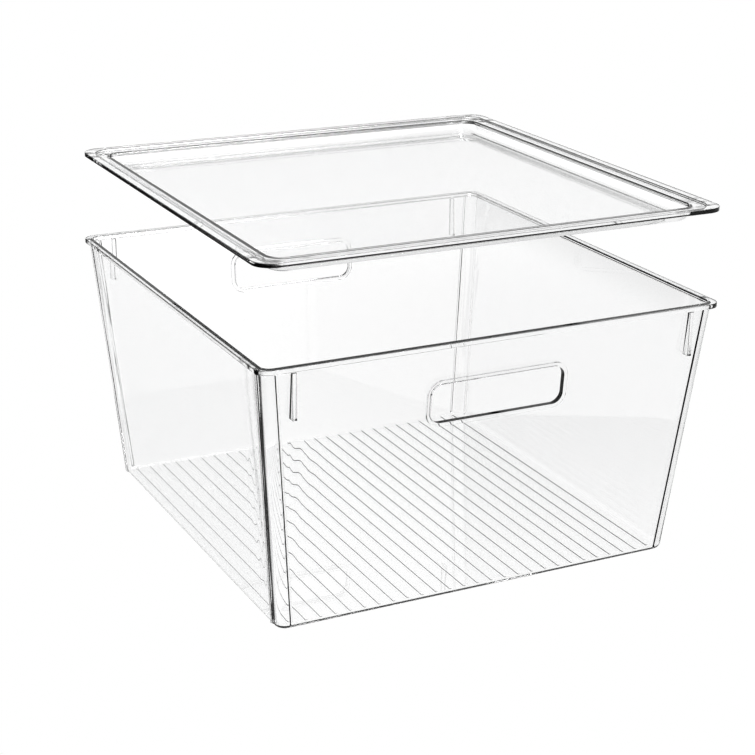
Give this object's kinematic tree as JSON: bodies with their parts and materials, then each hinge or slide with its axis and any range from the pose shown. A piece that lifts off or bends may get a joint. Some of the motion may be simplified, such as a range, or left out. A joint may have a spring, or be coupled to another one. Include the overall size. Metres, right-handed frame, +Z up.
{
  "type": "fridge bin",
  "caption": "Clear square storage bin with drafted walls, a hand slot in two opposite walls and a lift-off lid whose sunken tray takes the base of a bin stacked on top.",
  "frame": {"origin": "middle of the underside of the bin's base", "axes": "+Z up; the two walls with hand slots face -Y and +Y; +X to the right seen from -Y"},
  "size_m": [0.3174, 0.3174, 0.2368],
  "materials": {
    "bin_clear": "gloss",
    "lid_clear": "gloss"
  },
  "bodies": {
    "bin": {"bin": "bin_clear"},
    "lid": {"lid": "lid_clear"}
  },
  "joints": [
    {"name": "lid_lift", "type": "slide", "parent": "bin", "child": "lid", "axis": [0, 0, 1], "range_m": [-0.059, 0.041]}
  ]
}
